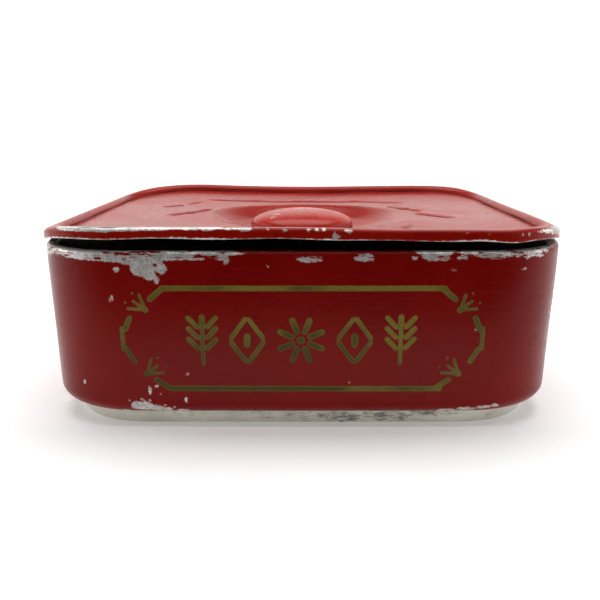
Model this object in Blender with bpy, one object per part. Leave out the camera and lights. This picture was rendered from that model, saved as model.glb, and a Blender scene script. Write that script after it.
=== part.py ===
"""Low rectangular biscuit tin with big rounded corners and a lift-off lid.

The tin is built as its maker would: a seamed side wall rolled round a wire at the mouth, a bare
base pan dropped in from above, and a pressed lid with a riveted knob in a round finger dish.
The lid is slightly bowed, so it rests on the two short sides of the mouth and stands off the
long ones. Sizes below are in millimetres. Origin: centre of the base, on the ground, +Z up,
-Y is the front.
"""
import math

import bmesh
import bpy
from mathutils import Vector

MM = 0.001

# Body
WIDTH = 281.4
DEPTH = 250.0
BODY_HEIGHT = 96.0
CORNER_RADIUS = 50.0
CORNER_LOSS = 0.42        # how much of an inset the corner radius gives up
CORNER_POWER = 2.2        # 2 is a true quarter circle
CROWN = 1.0               # how far each side bulges between its corners
SHEET = 0.4
GAP = 0.35                # clearance between pieces that touch

# Mouth roll and its wire
ROLL_RADIUS = 2.5
ROLL_END = math.radians(285.0)
WIRE_RADIUS = ROLL_RADIUS - SHEET - GAP

# Lower end of the wall
WALL_LEAN = 1.9           # how far the wall comes in from mouth to shoulder
SHOULDER_RADIUS = 9.0
SHOULDER_Z = 17.0
SHOULDER_END = math.radians(84.0)

# Base pan
PAN_OFFSET = SHEET + GAP
PAN_TOP = 24.0
FOOT_INSET = 11.8
FOOT_EDGE = 1.2
FOOT_RING = 3.8           # width of the flat ring that the tin stands on
FLOOR_RISE = 2.0

# Lock seam down the middle of the back
SEAM_HALF = 4.2
SEAM_STEP = 0.6
SEAM_PROUD = 0.7
SEAM_TOP = 90.0

# Lid
LID_REST = 95.6           # height of the lid's hem on the short sides
LID_OVERHANG = 0.8
BOW = 6.5
BOW_POWER = 10.0          # high, so that the lid is nearly level between its bent-down ends
HEM_RADIUS = 1.0
RIDGE_HEIGHT = 5.6
RIDGE_RADIUS = 2.0
RIDGE_INNER = 7.5
PANEL_DROP = 4.9
DISH_RADIUS = 62.0
DISH_RIM_DROP = 8.4
DISH_FLOOR_RADIUS = 42.0
DISH_DROP = 16.4

# Knob
KNOB_RADIUS = 33.6
KNOB_HEIGHT = 11.8
KNOB_STAND = 0.3
BACKING_RADIUS = 31.4
BACKING_THICK = 0.5
BACKING_Z = 1.1
HOLE_RADIUS = 2.3
RIVET_RADIUS = 1.9
RIVET_HEAD = 4.0
RIVET_TAIL = 3.4

# Facets
CORNER_STEPS = 6
LONG_STEPS = 5
SHORT_STEPS = 4
KNOB_STEPS = 28
WIRE_SIDES = 8


def clear_scene():
    """Start from an empty scene."""
    for obj in list(bpy.data.objects):
        bpy.data.objects.remove(obj, do_unlink=True)


def metal(name, colour, roughness, metallic):
    """A Principled material."""
    mat = bpy.data.materials.new(name)
    mat.use_nodes = True
    shader = mat.node_tree.nodes["Principled BSDF"]
    shader.inputs["Base Color"].default_value = (*colour, 1.0)
    shader.inputs["Roughness"].default_value = roughness
    shader.inputs["Metallic"].default_value = metallic
    return mat


def seam_weight(x, y):
    """1 on the raised strip of the lock seam, 0 elsewhere."""
    if y > 0.0 and abs(x) < SEAM_HALF - 0.5 * SEAM_STEP:
        return 1.0
    return 0.0


def outline(inset, proud=0.0):
    """Plan outline of the tin moved in by inset, counter-clockwise from the middle of +X."""
    half_x = WIDTH / 2 - inset
    half_y = DEPTH / 2 - inset
    radius = CORNER_RADIUS - CORNER_LOSS * inset
    centre_x = half_x - radius
    centre_y = half_y - radius
    corner = []
    for step in range(CORNER_STEPS + 1):
        turn = 0.5 * math.pi * step / CORNER_STEPS
        bend_x = abs(math.cos(turn)) ** (2.0 / CORNER_POWER)
        bend_y = abs(math.sin(turn)) ** (2.0 / CORNER_POWER)
        corner.append((centre_x + radius * bend_x, centre_y + radius * bend_y))
    side = [(half_x, centre_y * (2.0 * step / SHORT_STEPS - 1.0)) for step in range(1, SHORT_STEPS)]
    marks = [centre_x * (1.0 - 2.0 * step / LONG_STEPS) for step in range(1, LONG_STEPS)]
    front = [(x, half_y) for x in marks]
    seam = (SEAM_HALF, SEAM_HALF - SEAM_STEP)
    back_marks = sorted(marks + list(seam) + [-mark for mark in seam], reverse=True)
    back = [(x, half_y) for x in back_marks]
    points = corner + back
    points += [(-x, y) for x, y in reversed(corner)]
    points += [(-x, -y) for x, y in side]
    points += [(-x, -y) for x, y in corner]
    points += [(-x, -y) for x, y in front]
    points += [(x, -y) for x, y in reversed(corner)]
    points += side
    crowned = []
    for x, y in points:
        crown_x = x * (1.0 - CROWN / half_x * (y / half_y) ** 2)
        crown_y = y * (1.0 - CROWN / half_y * (x / half_x) ** 2)
        crowned.append((crown_x, crown_y + proud * seam_weight(x, y)))
    return crowned


def circle_like(points, radius):
    """Points on a circle, each in the direction of its fellow on an outline."""
    ring = []
    for x, y in points:
        reach = math.hypot(x, y)
        ring.append((radius * x / reach, radius * y / reach))
    return ring


def lift(points, z):
    """Outline points at one height."""
    return [Vector((x, y, z)) for x, y in points]


def arc(inset, z, radius, start, end, steps):
    """Section arc as (inset, z) pairs; 0 points out of the tin and a quarter turn points up."""
    pairs = []
    for step in range(steps + 1):
        turn = start + (end - start) * step / steps
        pairs.append((inset - radius * math.cos(turn), z + radius * math.sin(turn)))
    return pairs


def new_object(name, mesh, material, parent=None, z=0.0):
    """Put a mesh in the scene with its material, at a height, under a parent."""
    obj = bpy.data.objects.new(name, mesh)
    bpy.context.collection.objects.link(obj)
    obj.parent = parent
    obj.location = (0.0, 0.0, z * MM)
    mesh.materials.append(material)
    mesh.shade_smooth()
    mesh.set_sharp_from_angle(angle=math.radians(35.0))
    return obj


def ring_mesh(name, rings, close_rings=False, cap_last=False):
    """Mesh lofted through rings of equal length; the first ring is the outermost way round."""
    bm = bmesh.new()
    rows = [[bm.verts.new(point * MM) for point in ring] for ring in rings]
    pairs = list(zip(rows, rows[1:]))
    if close_rings:
        pairs.append((rows[-1], rows[0]))
    for upper, lower in pairs:
        count = len(upper)
        for index in range(count):
            after = (index + 1) % count
            bm.faces.new((upper[index], lower[index], lower[after], upper[after]))
    if cap_last:
        bm.faces.new(list(reversed(rows[-1])))
    mesh = bpy.data.meshes.new(name)
    bm.to_mesh(mesh)
    bm.free()
    return mesh


def thicken(obj, thickness=SHEET):
    """Give a sheet its thickness on its inner side."""
    solid = obj.modifiers.new("thickness", "SOLIDIFY")
    solid.thickness = thickness * MM
    solid.offset = -1.0
    solid.use_even_offset = True


def turned_mesh(name, profile, steps, closed):
    """Mesh turned about Z from (radius, z) pairs run from the bottom to the top."""
    rings = []
    for radius, z in profile:
        ring = []
        for step in range(steps):
            turn = 2.0 * math.pi * step / steps
            ring.append(Vector((radius * math.cos(turn), radius * math.sin(turn), z)))
        rings.append(ring)
    rings.reverse()
    return ring_mesh(name, rings, close_rings=closed)


def wall_section():
    """Outer side of the wall from the end of its roll to its lower edge."""
    centre_z = BODY_HEIGHT - ROLL_RADIUS
    section = arc(ROLL_RADIUS, centre_z, ROLL_RADIUS, ROLL_END, 0.0, 8)
    for z in (SEAM_TOP, SEAM_TOP - SEAM_STEP, SHOULDER_Z + SEAM_STEP):
        section.append((WALL_LEAN * (centre_z - z) / (centre_z - SHOULDER_Z), z))
    centre = WALL_LEAN + SHOULDER_RADIUS
    section += arc(centre, SHOULDER_Z, SHOULDER_RADIUS, 0.0, -SHOULDER_END, 5)
    return section


def make_body_wall(material):
    """Red side wall: one strip, lock-seamed at the back, rolled at the mouth, curved in below."""
    rings = []
    for inset, z in wall_section():
        proud = SEAM_PROUD if SHOULDER_Z < z < SEAM_TOP - 0.5 * SEAM_STEP else 0.0
        rings.append(lift(outline(inset, proud), z))
    wall = new_object("body_wall", ring_mesh("body_wall", rings), material)
    thicken(wall)
    return wall


def make_rim_wire(material):
    """Stiffening wire inside the mouth roll."""
    centre_z = BODY_HEIGHT - ROLL_RADIUS
    pairs = arc(ROLL_RADIUS, centre_z, WIRE_RADIUS, 2.0 * math.pi, 0.0, WIRE_SIDES)[:-1]
    rings = [lift(outline(inset), z) for inset, z in pairs]
    return new_object("rim_wire", ring_mesh("rim_wire", rings, close_rings=True), material)


def pan_section():
    """Underside of the base pan from its soldered flange to its floor."""
    centre = WALL_LEAN + SHOULDER_RADIUS
    radius = SHOULDER_RADIUS - PAN_OFFSET
    flange_inset = WALL_LEAN + PAN_OFFSET - 0.15
    section = [(flange_inset, PAN_TOP)]
    section += arc(centre, SHOULDER_Z, radius, 0.0, -0.5 * math.pi, 4)
    neck_z = SHOULDER_Z - radius
    section += [(FOOT_INSET - 0.3, neck_z - 0.35), (FOOT_INSET, neck_z - 1.05)]
    section += arc(FOOT_INSET + FOOT_EDGE, FOOT_EDGE, FOOT_EDGE, 0.0, -0.5 * math.pi, 3)
    ring_end = FOOT_INSET + FOOT_EDGE + FOOT_RING
    section += [(ring_end, 0.0), (ring_end + FLOOR_RISE, FLOOR_RISE)]
    return section


def make_base_pan(material):
    """Bare base pan: its flange sits inside the shoulder and its foot comes out below."""
    rings = [lift(outline(inset), z) for inset, z in pan_section()]
    pan = new_object("base_pan", ring_mesh("base_pan", rings, cap_last=True), material)
    thicken(pan)
    return pan


def bow(x):
    """Rise of the bowed lid above its ends."""
    return BOW * (1.0 - abs(x / (WIDTH / 2 + LID_OVERHANG)) ** BOW_POWER)


def bowed(points, z):
    """Outline points at a height on the bowed lid."""
    return [Vector((x, y, z + bow(x))) for x, y in points]


def lid_rim_section():
    """Hem, skirt and ridge of the lid, from the inside of the hem to the panel."""
    section = arc(HEM_RADIUS - LID_OVERHANG, HEM_RADIUS, HEM_RADIUS, -math.pi, 0.0, 4)
    ridge_z = RIDGE_HEIGHT - RIDGE_RADIUS
    section += arc(RIDGE_RADIUS - LID_OVERHANG, ridge_z, RIDGE_RADIUS, 0.0, 0.5 * math.pi, 3)
    inner = RIDGE_INNER - RIDGE_RADIUS
    section += arc(inner, ridge_z, RIDGE_RADIUS, 0.5 * math.pi, math.pi, 3)
    panel_z = RIDGE_HEIGHT - PANEL_DROP
    section += [(RIDGE_INNER + 0.5, panel_z + 1.3), (RIDGE_INNER + 1.8, panel_z)]
    return section


def dish_section():
    """Panel edge to rivet hole, as (radius, z) pairs below the ridge."""
    section = []
    for step in range(6):
        share = step / 5.0
        ease = share * share * (3.0 - 2.0 * share)
        radius = DISH_RADIUS + (DISH_FLOOR_RADIUS - DISH_RADIUS) * share
        drop = DISH_RIM_DROP + (DISH_DROP - DISH_RIM_DROP) * ease
        section.append((radius, RIDGE_HEIGHT - drop))
    section += [(0.5 * DISH_FLOOR_RADIUS, RIDGE_HEIGHT - DISH_DROP)]
    section += [(HOLE_RADIUS, RIDGE_HEIGHT - DISH_DROP)]
    return section


def make_lid(material, parent):
    """Pressed lid: hemmed skirt, raised ridge, sunk panel and round finger dish."""
    rings = [bowed(outline(inset), z) for inset, z in lid_rim_section()]
    guide = outline(RIDGE_INNER)
    for radius, z in dish_section():
        rings.append(bowed(circle_like(guide, radius), z))
    rings.reverse()
    lid = new_object("lid_pressing", ring_mesh("lid_pressing", rings), material, parent)
    thicken(lid)
    return lid


def cap_profile():
    """Outside of the knob cap from its turned-in lip up to the middle of its crown."""
    profile = [(KNOB_RADIUS - 3.8, 0.0), (KNOB_RADIUS - 1.2, 0.0), (KNOB_RADIUS - 0.3, 0.6)]
    profile += [(KNOB_RADIUS, 1.7), (KNOB_RADIUS - 0.1, 3.1)]
    side_z = 3.1
    for step in range(1, 7):
        share = 0.5 * math.pi * step / 6
        radius = (KNOB_RADIUS - 0.1) * math.cos(share) ** 0.62
        rise = (KNOB_HEIGHT - side_z) * math.sin(share)
        profile.append((max(radius, 1.0), side_z + rise))
    return profile


def make_knob_cap(material, parent, z):
    """Hollow pressed cap with its lip turned in under the backing disc."""
    mesh = turned_mesh("knob_cap", cap_profile(), KNOB_STEPS, closed=False)
    bm = bmesh.new()
    bm.from_mesh(mesh)
    top = max(vert.co.z for vert in bm.verts)
    crown = [edge for edge in bm.edges if edge.is_boundary and edge.verts[0].co.z > top - 1e-6]
    bmesh.ops.contextual_create(bm, geom=crown)
    bmesh.ops.recalc_face_normals(bm, faces=bm.faces)
    bm.to_mesh(mesh)
    bm.free()
    cap = new_object("knob_cap", mesh, material, parent, z)
    thicken(cap)
    return cap


def make_knob_backing(material, parent, z):
    """Flat disc that closes the cap and takes the rivet."""
    profile = [(HOLE_RADIUS, 0.0), (BACKING_RADIUS, 0.0)]
    profile += [(BACKING_RADIUS, BACKING_THICK), (HOLE_RADIUS, BACKING_THICK)]
    mesh = turned_mesh("knob_backing", profile, KNOB_STEPS, closed=True)
    return new_object("knob_backing", mesh, material, parent, z)


def make_knob_rivet(material, parent, floor_z):
    """Rivet through the backing disc and the floor of the dish."""
    head_z = floor_z + KNOB_STAND + BACKING_Z + BACKING_THICK + GAP
    tail_z = floor_z - SHEET - GAP
    profile = [(0.6, tail_z - 1.3), (2.3, tail_z - 1.2), (RIVET_TAIL, tail_z - 0.5)]
    profile += [(RIVET_TAIL, tail_z), (RIVET_RADIUS, tail_z), (RIVET_RADIUS, head_z)]
    profile += [(RIVET_HEAD, head_z), (RIVET_HEAD, head_z + 0.4), (2.6, head_z + 1.2)]
    profile += [(0.6, head_z + 1.4)]
    mesh = turned_mesh("knob_rivet", profile, 12, closed=False)
    bm = bmesh.new()
    bm.from_mesh(mesh)
    bmesh.ops.holes_fill(bm, edges=bm.edges, sides=0)
    bmesh.ops.recalc_face_normals(bm, faces=bm.faces)
    bm.to_mesh(mesh)
    bm.free()
    return new_object("knob_rivet", mesh, material, parent)


def make_tin():
    """Build every piece and put it in its place."""
    clear_scene()
    red = metal("red_lacquer", (0.24, 0.012, 0.010), 0.34, 0.0)
    knob_red = metal("knob_lacquer", (0.36, 0.020, 0.016), 0.30, 0.0)
    tinplate = metal("bare_tinplate", (0.42, 0.42, 0.37), 0.42, 1.0)
    wire_steel = metal("wire_steel", (0.30, 0.29, 0.27), 0.50, 1.0)
    make_body_wall(red)
    make_base_pan(tinplate)
    make_rim_wire(wire_steel)
    lid_axis = bpy.data.objects.new("lid_axis", None)
    bpy.context.collection.objects.link(lid_axis)
    lid_axis.location = (0.0, 0.0, LID_REST * MM)
    make_lid(red, lid_axis)
    floor_z = RIDGE_HEIGHT - DISH_DROP + BOW
    make_knob_cap(knob_red, lid_axis, floor_z + KNOB_STAND)
    make_knob_backing(tinplate, lid_axis, floor_z + KNOB_STAND + BACKING_Z)
    make_knob_rivet(wire_steel, lid_axis, floor_z)


make_tin()
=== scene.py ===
"""Red biscuit tin with a lift-off lid: fine surface, wear, stencilled front, light and camera.

Lengths are in millimetres unless a comment says otherwise, and meshes are written in metres.
The tin stands on z = 0 with its middle over the origin, and its front faces -y.
"""
import math

import bpy
import numpy as np
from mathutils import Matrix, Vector, noise


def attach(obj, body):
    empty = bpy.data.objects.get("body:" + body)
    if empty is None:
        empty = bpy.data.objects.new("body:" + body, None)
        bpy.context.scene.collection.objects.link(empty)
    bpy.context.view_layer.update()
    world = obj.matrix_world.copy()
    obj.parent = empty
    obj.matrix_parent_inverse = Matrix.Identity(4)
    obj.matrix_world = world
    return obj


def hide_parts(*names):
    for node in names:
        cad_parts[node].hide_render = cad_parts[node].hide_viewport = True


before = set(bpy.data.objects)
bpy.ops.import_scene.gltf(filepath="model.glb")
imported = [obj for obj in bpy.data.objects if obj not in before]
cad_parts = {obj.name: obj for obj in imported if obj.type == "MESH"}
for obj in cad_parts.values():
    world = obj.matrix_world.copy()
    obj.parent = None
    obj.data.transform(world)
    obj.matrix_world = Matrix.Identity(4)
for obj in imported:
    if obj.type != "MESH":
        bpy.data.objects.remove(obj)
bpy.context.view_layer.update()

MM = 0.001
WIDTH, DEPTH = 281.4, 250.0
BODY_HEIGHT = 96.0
CORNER_RADIUS, CORNER_LOSS, CORNER_POWER, CROWN = 50.0, 0.42, 2.2, 1.0
SHEET, GAP = 0.4, 0.35
ROLL_RADIUS = 2.5
ROLL_END = math.radians(285.0)
WALL_LEAN, SHOULDER_RADIUS, SHOULDER_Z = 1.9, 9.0, 17.0
SHOULDER_END = math.radians(84.0)
PAN_TOP, FOOT_INSET, FOOT_EDGE, FOOT_RING, FLOOR_RISE = 24.0, 11.8, 1.2, 3.8, 2.0
SEAM_HALF, SEAM_STEP, SEAM_PROUD, SEAM_TOP, SEAM_REACH = 4.2, 0.6, 0.7, 90.0, 90.0
LID_REST, LID_OVERHANG, BOW, BOW_POWER = 95.6, 0.8, 6.5, 10.0
HEM_RADIUS, RIDGE_HEIGHT, RIDGE_RADIUS, RIDGE_INNER = 1.0, 5.6, 2.0, 7.5
BEAD_RADIUS, PANEL_FILLET, PANEL_EDGE = 4.5, 0.6, RIDGE_INNER + 0.9
PANEL_DROP, DISH_RADIUS, DISH_RIM_DROP = 4.9, 62.0, 8.4
DISH_FLOOR_RADIUS, DISH_DROP = 42.0, 16.4
KNOB_RADIUS, KNOB_HEIGHT, KNOB_STAND, HOLE_RADIUS = 33.6, 11.8, 0.3, 2.3

# Points along each run of an outline; the front has most, for the stencil and the chips.
WALL_GRID = {"front": 210, "back": 46, "side": 44, "front_corner": 64, "back_corner": 28}
PAN_GRID = {"front": 110, "back": 40, "side": 40, "front_corner": 34, "back_corner": 26}
LID_GRID = {"front": 150, "back": 80, "side": 76, "front_corner": 40, "back_corner": 34}

# Values of the point attributes that the materials read.
NOWHERE = -6.0          # far outside any paint, chip or stain
DEEPEST = 6.0           # deepest wear kept
OUTSIDE_DEEPEST = 1.9   # deepest wear on the outside of the wall
INSIDE_MARK = 3.4       # wear that marks the inside of the wall, painted dark as shade


# ---------------------------------------------------------------- shapes

def plan_grid(front, back, side, front_corner, back_corner, seam=False):
    """Shares of an outline's points in four rows: straight part (x, y), then corner part (x, y)."""
    shares = []
    power = 2.0 / CORNER_POWER

    def corner(sx, sy, steps, turn_from, turn_to):
        for turn in np.linspace(turn_from, turn_to, steps + 1):
            shares.append((sx, sy, sx * abs(math.cos(turn)) ** power, sy * abs(math.sin(turn)) ** power))

    for u in np.linspace(-1, 1, front + 1)[1:-1]:
        shares.append((u, -1, 0, -1))
    corner(1, -1, front_corner, math.pi / 2, 0)
    for u in np.linspace(-1, 1, side + 1)[1:-1]:
        shares.append((1, u, 1, 0))
    corner(1, 1, back_corner, 0, math.pi / 2)
    marks = list(np.linspace(1, -1, back + 1)[1:-1])
    if seam:
        for half in (SEAM_HALF, SEAM_HALF - SEAM_STEP):
            marks += [half / SEAM_REACH, -half / SEAM_REACH]
    for u in sorted(marks, reverse=True):
        shares.append((u, 1, 0, 1))
    corner(-1, 1, back_corner, math.pi / 2, 0)
    for u in np.linspace(1, -1, side + 1)[1:-1]:
        shares.append((-1, u, -1, 0))
    corner(-1, -1, front_corner, 0, math.pi / 2)
    return np.array(shares, float).T


def outline(grid, inset, proud=0.0):
    """Plan outline, moved in by inset, as x and y arrays; proud lifts the seam off the back."""
    half_x, half_y = WIDTH / 2 - inset, DEPTH / 2 - inset
    radius = CORNER_RADIUS - CORNER_LOSS * inset
    fx, fy, tx, ty = grid
    x = fx * (half_x - radius) + tx * radius
    y = fy * (half_y - radius) + ty * radius
    seam = (y > 0) & (np.abs(x) < SEAM_HALF - 0.5 * SEAM_STEP)
    cx = x * (1 - CROWN / half_x * (y / half_y) ** 2)
    cy = y * (1 - CROWN / half_y * (x / half_x) ** 2)
    return cx, cy + proud * seam


def arc(inset, z, radius, start, end, steps):
    """Section arc as (inset, z); 0 points out of the tin and a quarter turn points up."""
    t = np.linspace(start, end, steps + 1)
    return np.stack([inset - radius * np.cos(t), z + radius * np.sin(t)], axis=1)


def smooth_line(a, b, steps):
    """Straight run of section points, without its first point."""
    t = np.linspace(0, 1, steps + 1)[1:, None]
    return np.array(a) * (1 - t) + np.array(b) * t


def inner_side(path, thickness):
    """The same section path on the other side of the sheet."""
    tangent = np.gradient(path, axis=0)
    tangent /= np.maximum(np.linalg.norm(tangent, axis=1, keepdims=True), 1e-9)
    return path + thickness * np.stack([-tangent[:, 1], tangent[:, 0]], axis=1)


def smoothstep(low, high, value):
    """0 up to low, 1 from high, eased between; low may be the larger one."""
    t = np.clip((np.asarray(value, float) - low) / (high - low), 0, 1)
    return t * t * (3 - 2 * t)


def bell(value, centre, spread):
    """1 at the centre, falling off to both sides."""
    return np.exp(-((value - centre) / spread) ** 2)


def ripple(points, scale, seed):
    """Gentle random height, about -1 to 1, at each point."""
    shift = Vector((seed * 17.3, seed * 5.7, seed * 9.1))
    return np.array([noise.noise(Vector(p) / scale + shift) for p in points]) * 1.6


def level_ring(x, y, z):
    """Points of one outline at one height."""
    return np.stack([x, y, np.full(x.shape, z)], axis=1)


def loft(name, rings, close=False, cap_last=False, cap_first=False):
    """Mesh through rings of points: an array of (rings, points, 3) in millimetres."""
    rings = np.asarray(rings, float)
    count, width = rings.shape[:2]
    index = np.arange(count * width).reshape(count, width)
    lower = np.roll(index, -1, axis=0) if close else index[1:]
    upper = index if close else index[:-1]
    quads = np.stack([upper, lower, np.roll(lower, -1, axis=1), np.roll(upper, -1, axis=1)], axis=-1)
    faces = quads.reshape(-1, 4).tolist()
    if cap_last:
        faces.append(index[-1][::-1].tolist())
    if cap_first:
        faces.append(index[0].tolist())
    mesh = bpy.data.meshes.new(name)
    mesh.from_pydata((rings.reshape(-1, 3) * MM).tolist(), [], faces)
    mesh.update()
    return mesh


def attribute(mesh, name, values):
    """Store one number per point for the material to read."""
    layer = mesh.attributes.new(name, "FLOAT", "POINT")
    layer.data.foreach_set("value", np.asarray(values, np.float32).ravel())


# ---------------------------------------------------------------- flat distances

def to_segment(x, z, a, b, half):
    """Signed distance to a round-ended stroke, negative inside."""
    ax, az = a
    dx, dz = b[0] - ax, b[1] - az
    t = np.clip(((x - ax) * dx + (z - az) * dz) / max(dx * dx + dz * dz, 1e-9), 0, 1)
    return np.hypot(x - ax - t * dx, z - az - t * dz) - half


def to_blob(x, z, cx, cz, rx, rz):
    """Signed distance to an ellipse, negative inside."""
    u, v = (x - cx) / rx, (z - cz) / rz
    k = np.hypot(u, v)
    return np.maximum(k * (k - 1) / np.maximum(np.hypot(u / rx, v / rz), 1e-6), -min(rx, rz))


def add_chips(wear, where, x, z, chips):
    """Wear with chips added to it: ellipses, given as middle (x, z) and half sizes (x, z)."""
    for chip in chips:
        wear = np.where(where, np.maximum(wear, -to_blob(x, z, *chip)), wear)
    return wear


def polar(start, way, degrees, reach):
    """Point at an angle above level from start; way is 1 to the right and -1 to the left."""
    turn = math.radians(degrees)
    return (start[0] + way * math.cos(turn) * reach, start[1] + math.sin(turn) * reach)


# ---------------------------------------------------------------- painted front
# Strokes are (start, end, half width), and their places are (x, z) on the front.

ORNAMENT_Z, ORNAMENT_TALL = 49.8, 25.0
SPRIG_PLACES, LOZENGE_PLACES, ROSETTE_PLACE = (-51.0, 50.0), (-28.2, 26.6), -0.8
FRAME_RAILS = [((-70.5, 77.2), (71.5, 77.2), 1.45), ((-67.5, 23.6), (71.0, 23.4), 1.5)]
FRAME_END = [((70.8, 76.6), (76.8, 71.6), 1.55), ((68.8, 23.6), (75.6, 28.4), 1.45),
             ((87.6, 61.6), (90.0, 55.8), 1.5), ((91.8, 56.2), (91.6, 45.2), 1.2),
             ((90.2, 45.2), (86.2, 38.4), 1.35)]
FANS = [((79.4, 66.0), 1), ((80.4, 31.6), -1)]      # foot of the fan, and 1 if it leans outwards
FAN_STROKES = [(72, 8.2), (38, 7.2), (4, 8.6)]      # degrees above level, and reach
FAN_DOTS, FAN_DOT_REACH, FAN_START = (55, 21), 10.5, 1.4
FAN_HALF, FAN_FOOT_HALF, FAN_DOT_HALF = 0.85, 1.7, 0.75


def leaf_sprig(cx, cz, height):
    """Upright stem with three pairs of leaves."""
    half = height / 2
    strokes = [((cx, cz - half), (cx, cz + half * 0.55), 1.1)]
    for level in (-0.45, 0.0, 0.45):
        base = cz + level * half
        for side in (-1, 1):
            strokes.append(((cx + side * 2.6, base + 1.6), (cx + side * 7.0, base + 6.4), 1.35))
    strokes.append(((cx, cz + half * 0.72), (cx, cz + half), 1.5))
    return strokes


def lozenge(cx, cz, height):
    """Diamond of four strokes round a short upright one."""
    half, wide = height / 2, height * 0.36
    strokes = []
    for sx in (-1, 1):
        for sz in (-1, 1):
            start = (cx + sx * wide * 0.10, cz + sz * half * 0.90)
            end = (cx + sx * wide * 0.90, cz + sz * half * 0.10)
            strokes.append((start, end, 1.25))
    strokes.append(((cx, cz - 2.2), (cx, cz + 2.2), 1.7))
    return strokes


def rosette(cx, cz, height):
    """Eight petals round a dot."""
    strokes = [((cx, cz), (cx, cz), 2.2)]
    for step in range(8):
        turn = 45.0 * step + 22.5
        near = polar((cx, cz), 1, turn, height * 0.20)
        far = polar((cx, cz), 1, turn, height * 0.46)
        strokes.append((near, far, 1.6))
    return strokes


def frame_strokes():
    """Line frame with sloping ends, stepped side brackets and a fan of strokes at each corner."""
    strokes = list(FRAME_RAILS)
    for side in (-1, 1):
        for (ax, az), (bx, bz), half in FRAME_END:
            strokes.append(((side * ax, az), (side * bx, bz), half))
        for (foot_x, foot_z), lean in FANS:
            foot = (side * foot_x, foot_z)
            strokes.append((foot, foot, FAN_FOOT_HALF))
            for turn, reach in FAN_STROKES:
                near = polar(foot, side * lean, turn, FAN_START)
                far = polar(foot, side * lean, turn, reach)
                strokes.append((near, far, FAN_HALF))
            for turn in FAN_DOTS:
                dot = polar(foot, side * lean, turn, FAN_DOT_REACH)
                strokes.append((dot, dot, FAN_DOT_HALF))
    return strokes


def stencil_depth(x, z):
    """How far inside the stencilled paint each point is; negative outside."""
    strokes = frame_strokes()
    for place in SPRIG_PLACES:
        strokes += leaf_sprig(place, ORNAMENT_Z, ORNAMENT_TALL)
    for place in LOZENGE_PLACES:
        strokes += lozenge(place, ORNAMENT_Z, ORNAMENT_TALL)
    strokes += rosette(ROSETTE_PLACE, ORNAMENT_Z, ORNAMENT_TALL)
    depth = np.full(x.shape, NOWHERE)
    for a, b, half in strokes:
        depth = np.maximum(depth, -to_segment(x, z, a, b, half))
    return depth


# ---------------------------------------------------------------- materials
# Colours are linear red, green and blue. A pair is the two ends of a mottle.

# One red lacquer in three tones: darkest on the upright wall, paler on the lid, palest on the knob. The
# difference between them is painted shade and light.
WALL_RED, WALL_SHINE = ((0.180, 0.0008, 0.0004), (0.208, 0.0012, 0.0006)), 0.14
LID_RED, LID_SHINE = ((0.270, 0.0040, 0.0006), (0.315, 0.0050, 0.0010)), 0.19
KNOB_RED, KNOB_SHINE = ((0.370, 0.0130, 0.0045), (0.410, 0.0170, 0.0060)), 0.19
# Colour of the painted shade in the lid's creases and in the ridge's inner groove.
GROOVE_SHADE = (0.060, 0.004, 0.003)
PAINT_MIDDLE = ((0.060, 0.055, 0.010), (0.19, 0.16, 0.020))
PAINT_EDGE = ((0.11, 0.085, 0.022), (0.20, 0.155, 0.030))
PAINT_PIT = (0.028, 0.024, 0.006)
CHIP_TIN = ((0.74, 0.73, 0.72), (0.48, 0.46, 0.44))
CHIP_PIT = (0.11, 0.085, 0.07)
CHIP_EDGE = (0.46, 0.25, 0.21)
BARE_TIN = ((0.78, 0.77, 0.67), (0.66, 0.65, 0.56))
# Inside of the tin, the lid and the knob: tinplate painted near black as shade.
SHADED_INSIDE_TIN = ((0.10, 0.092, 0.080), (0.060, 0.055, 0.045))
STEEL = ((0.36, 0.35, 0.33), (0.24, 0.23, 0.21))
TIN_STAIN = (0.045, 0.045, 0.050)
GLOSS_TINT = (1.0, 0.96, 0.88, 1.0)
TIN_METALLIC = 0.60
LACQUER_DEPTH, TIN_DEPTH = 0.05, 0.06       # height of the bumps
RIM_START, RIM_FULL = 90.5, 92.5            # heights between which the wall keeps streaks of red


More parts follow.
